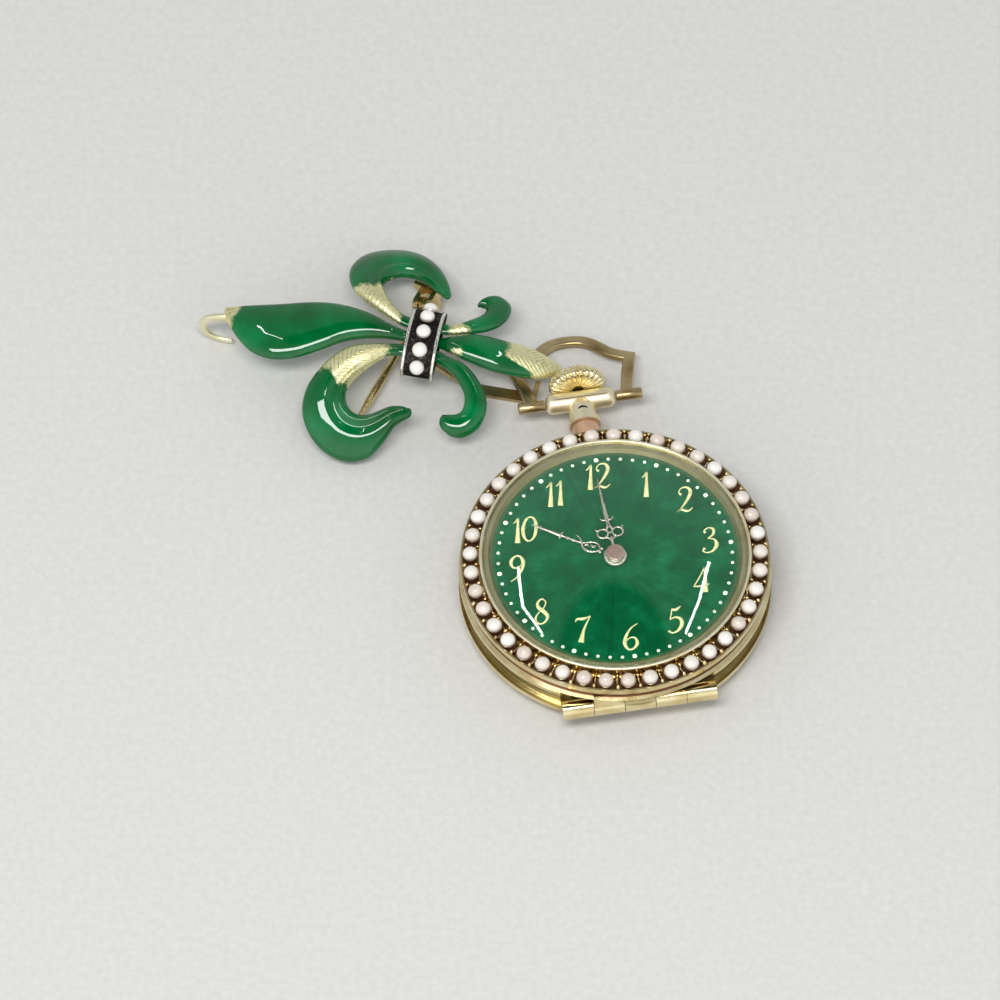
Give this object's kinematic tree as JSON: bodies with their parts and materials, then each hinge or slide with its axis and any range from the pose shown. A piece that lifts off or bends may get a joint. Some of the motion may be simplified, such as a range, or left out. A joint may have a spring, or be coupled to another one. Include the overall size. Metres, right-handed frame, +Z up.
{
  "type": "chatelaine watch pin",
  "caption": "Fleur-de-lis brooch in green enamel with a pearl-set collar, carrying by a hook a ladies' pendant watch with a pearl-set bezel and a green enamel dial.",
  "frame": {"origin": "on the surface the part lies on, under the middle of its bounding box", "axes": "+Z up out of the dial, +X to the right and +Y towards the brooch; the brooch lies at upper left with its petal to the left, the watch at lower right with twelve o'clock near +Y"},
  "size_m": [0.05, 0.0488, 0.0082],
  "materials": {
    "enamel": "translucent green enamel on gilt metal, glossy",
    "gilt_wire": "pale gilt, drawn and polished",
    "oxidised_silver": "oxidised, rubbed bright at the edges",
    "pearl": "half pearls, soft lustre",
    "case_gold": "gold alloy, polished with bright-cut rims",
    "bow_gold": "gold alloy, handled and duller",
    "crystal_glass": "clear domed glass",
    "dial_enamel": "translucent green enamel over a cut sunburst",
    "movement_brass": "gilt, plain",
    "hand_gold": "pale gilt, pierced",
    "steel": "polished steel"
  },
  "bodies": {
    "pin": {"centre_leaf": "enamel", "left_leaf": "enamel", "right_leaf": "enamel", "collar": "oxidised_silver", "collar_pearls": "pearl", "top_hook": "gilt_wire", "watch_hook": "gilt_wire", "pin_hinge": "gilt_wire", "pin_catch": "gilt_wire", "bow": "bow_gold"},
    "pin_stem": {"pin_stem": "gilt_wire"},
    "watch": {"case_middle": "case_gold", "hinge_pin": "steel", "dial": "dial_enamel", "movement": "movement_brass"},
    "bezel": {"bezel": "case_gold", "bezel_pearls": "pearl", "crystal": "crystal_glass"},
    "back_cover": {"back_cover": "case_gold"},
    "crown": {"crown": "case_gold"},
    "hour_hand": {"hour_hand": "hand_gold"},
    "minute_hand": {"minute_hand": "hand_gold", "hand_cap": "hand_gold"}
  },
  "joints": [
    {"name": "stem_hinge", "type": "hinge", "parent": "pin", "child": "pin_stem", "pos_m": [-0.00488, 0.01919, 0.0012], "axis": [0.8109, -0.4049, 0.4226], "range_deg": [0, 90]},
    {"name": "bow_pivot", "type": "hinge", "parent": "pin", "child": "watch", "pos_m": [0.0085, 0.00813, 0.00285], "axis": [0.9869, 0.1616, 0], "range_deg": [-90, 90]},
    {"name": "bezel_hinge", "type": "hinge", "parent": "watch", "child": "bezel", "pos_m": [0.01351, -0.02246, 0.00285], "axis": [0.9869, 0.1616, 0], "range_deg": [0, 95]},
    {"name": "back_hinge", "type": "hinge", "parent": "watch", "child": "back_cover", "pos_m": [0.01351, -0.02246, 0.00285], "axis": [-0.9869, -0.1616, 0], "range_deg": [0, 85]},
    {"name": "crown_turn", "type": "hinge", "parent": "watch", "child": "crown", "pos_m": [0.0085, 0.00813, 0.00285], "axis": [-0.1616, 0.9869, 0], "continuous": true},
    {"name": "minute_turn", "type": "hinge", "parent": "watch", "child": "minute_hand", "pos_m": [0.01147, -0.01003, 0], "axis": [0, 0, -1], "continuous": true},
    {"name": "hour_turn", "type": "hinge", "parent": "watch", "child": "hour_hand", "pos_m": [0.01147, -0.01003, 0], "axis": [0, 0, -1], "continuous": true}
  ],
  "couplings": [
    {"joint": "hour_turn", "follows": "minute_turn", "ratio": 0.083333}
  ]
}
